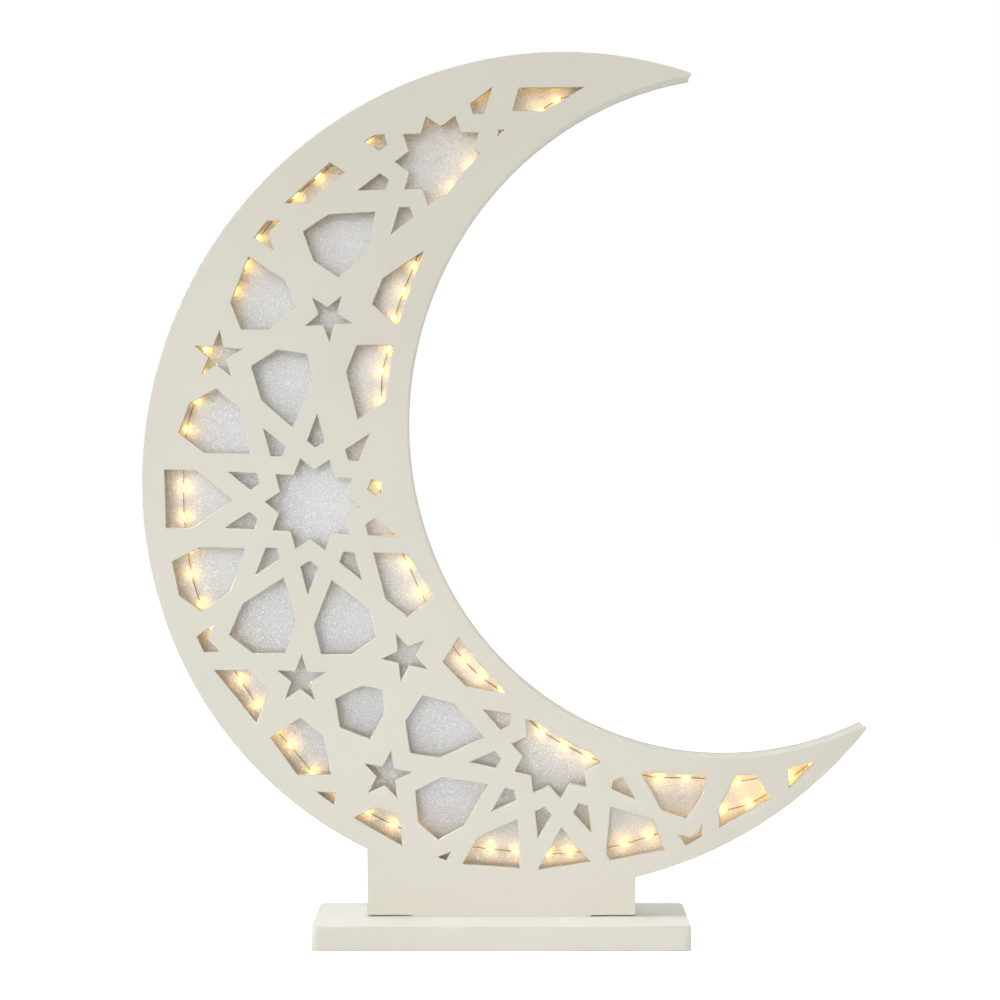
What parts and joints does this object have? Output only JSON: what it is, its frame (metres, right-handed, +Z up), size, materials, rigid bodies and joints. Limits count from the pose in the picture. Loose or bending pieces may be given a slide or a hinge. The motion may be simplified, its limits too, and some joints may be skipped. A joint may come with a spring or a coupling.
{
  "type": "crescent moon ornament",
  "caption": "Standing crescent moon ornament: pierced board with a geometric star pattern, lit glitter lining behind it, battery box at the back and a flat base.",
  "frame": {"origin": "middle of the base's underside", "axes": "+Z up, +Y towards the back where the battery box is, +X towards the side the crescent opens to"},
  "size_m": [0.3267, 0.0774, 0.4005],
  "materials": {
    "painted_board": "matt off-white paint on fibreboard",
    "painted_strip": "matt off-white paint on bent strip",
    "bare_wood": "sawn pine",
    "glitter_card": "silver-white glitter on card",
    "lacquered_wire": "clear lacquer on copper",
    "led_resin": "clear resin lit warm white",
    "hot_melt": "set hot-melt glue",
    "zinc_screw": "zinc plated",
    "white_moulding": "fine spark-eroded texture",
    "cell_jacket": "plain shrink jacket",
    "nickel_contact": "nickel plated spring steel",
    "black_moulding": "moulded"
  },
  "bodies": {
    "ornament": {"front_panel": "painted_board", "back_panel": "painted_board", "outer_rim_left": "painted_strip", "outer_rim_right": "painted_strip", "inner_rim": "painted_strip", "upper_tip_block": "painted_strip", "lower_tip_block": "painted_strip", "neck_wall_left": "painted_strip", "neck_wall_right": "painted_strip", "neck_block": "bare_wood", "glitter_sheet": "glitter_card", "light_wire": "lacquered_wire", "led_beads": "led_resin", "glue_dots": "hot_melt", "base_plinth": "painted_board", "base_screws": "zinc_screw", "battery_box": "white_moulding", "box_screws": "zinc_screw", "cell_upper": "cell_jacket", "cell_lower": "cell_jacket", "bridge_contact": "nickel_contact", "feed_contacts": "nickel_contact", "switch_body": "black_moulding"},
    "cover": {"battery_cover": "white_moulding"},
    "switch": {"switch_knob": "black_moulding"}
  },
  "joints": [
    {"name": "cover_slide", "type": "slide", "parent": "ornament", "child": "cover", "axis": [1, 0, 0], "range_m": [0, 0.058]},
    {"name": "switch_slide", "type": "slide", "parent": "ornament", "child": "switch", "axis": [1, 0, 0], "range_m": [0, 0.002]}
  ]
}
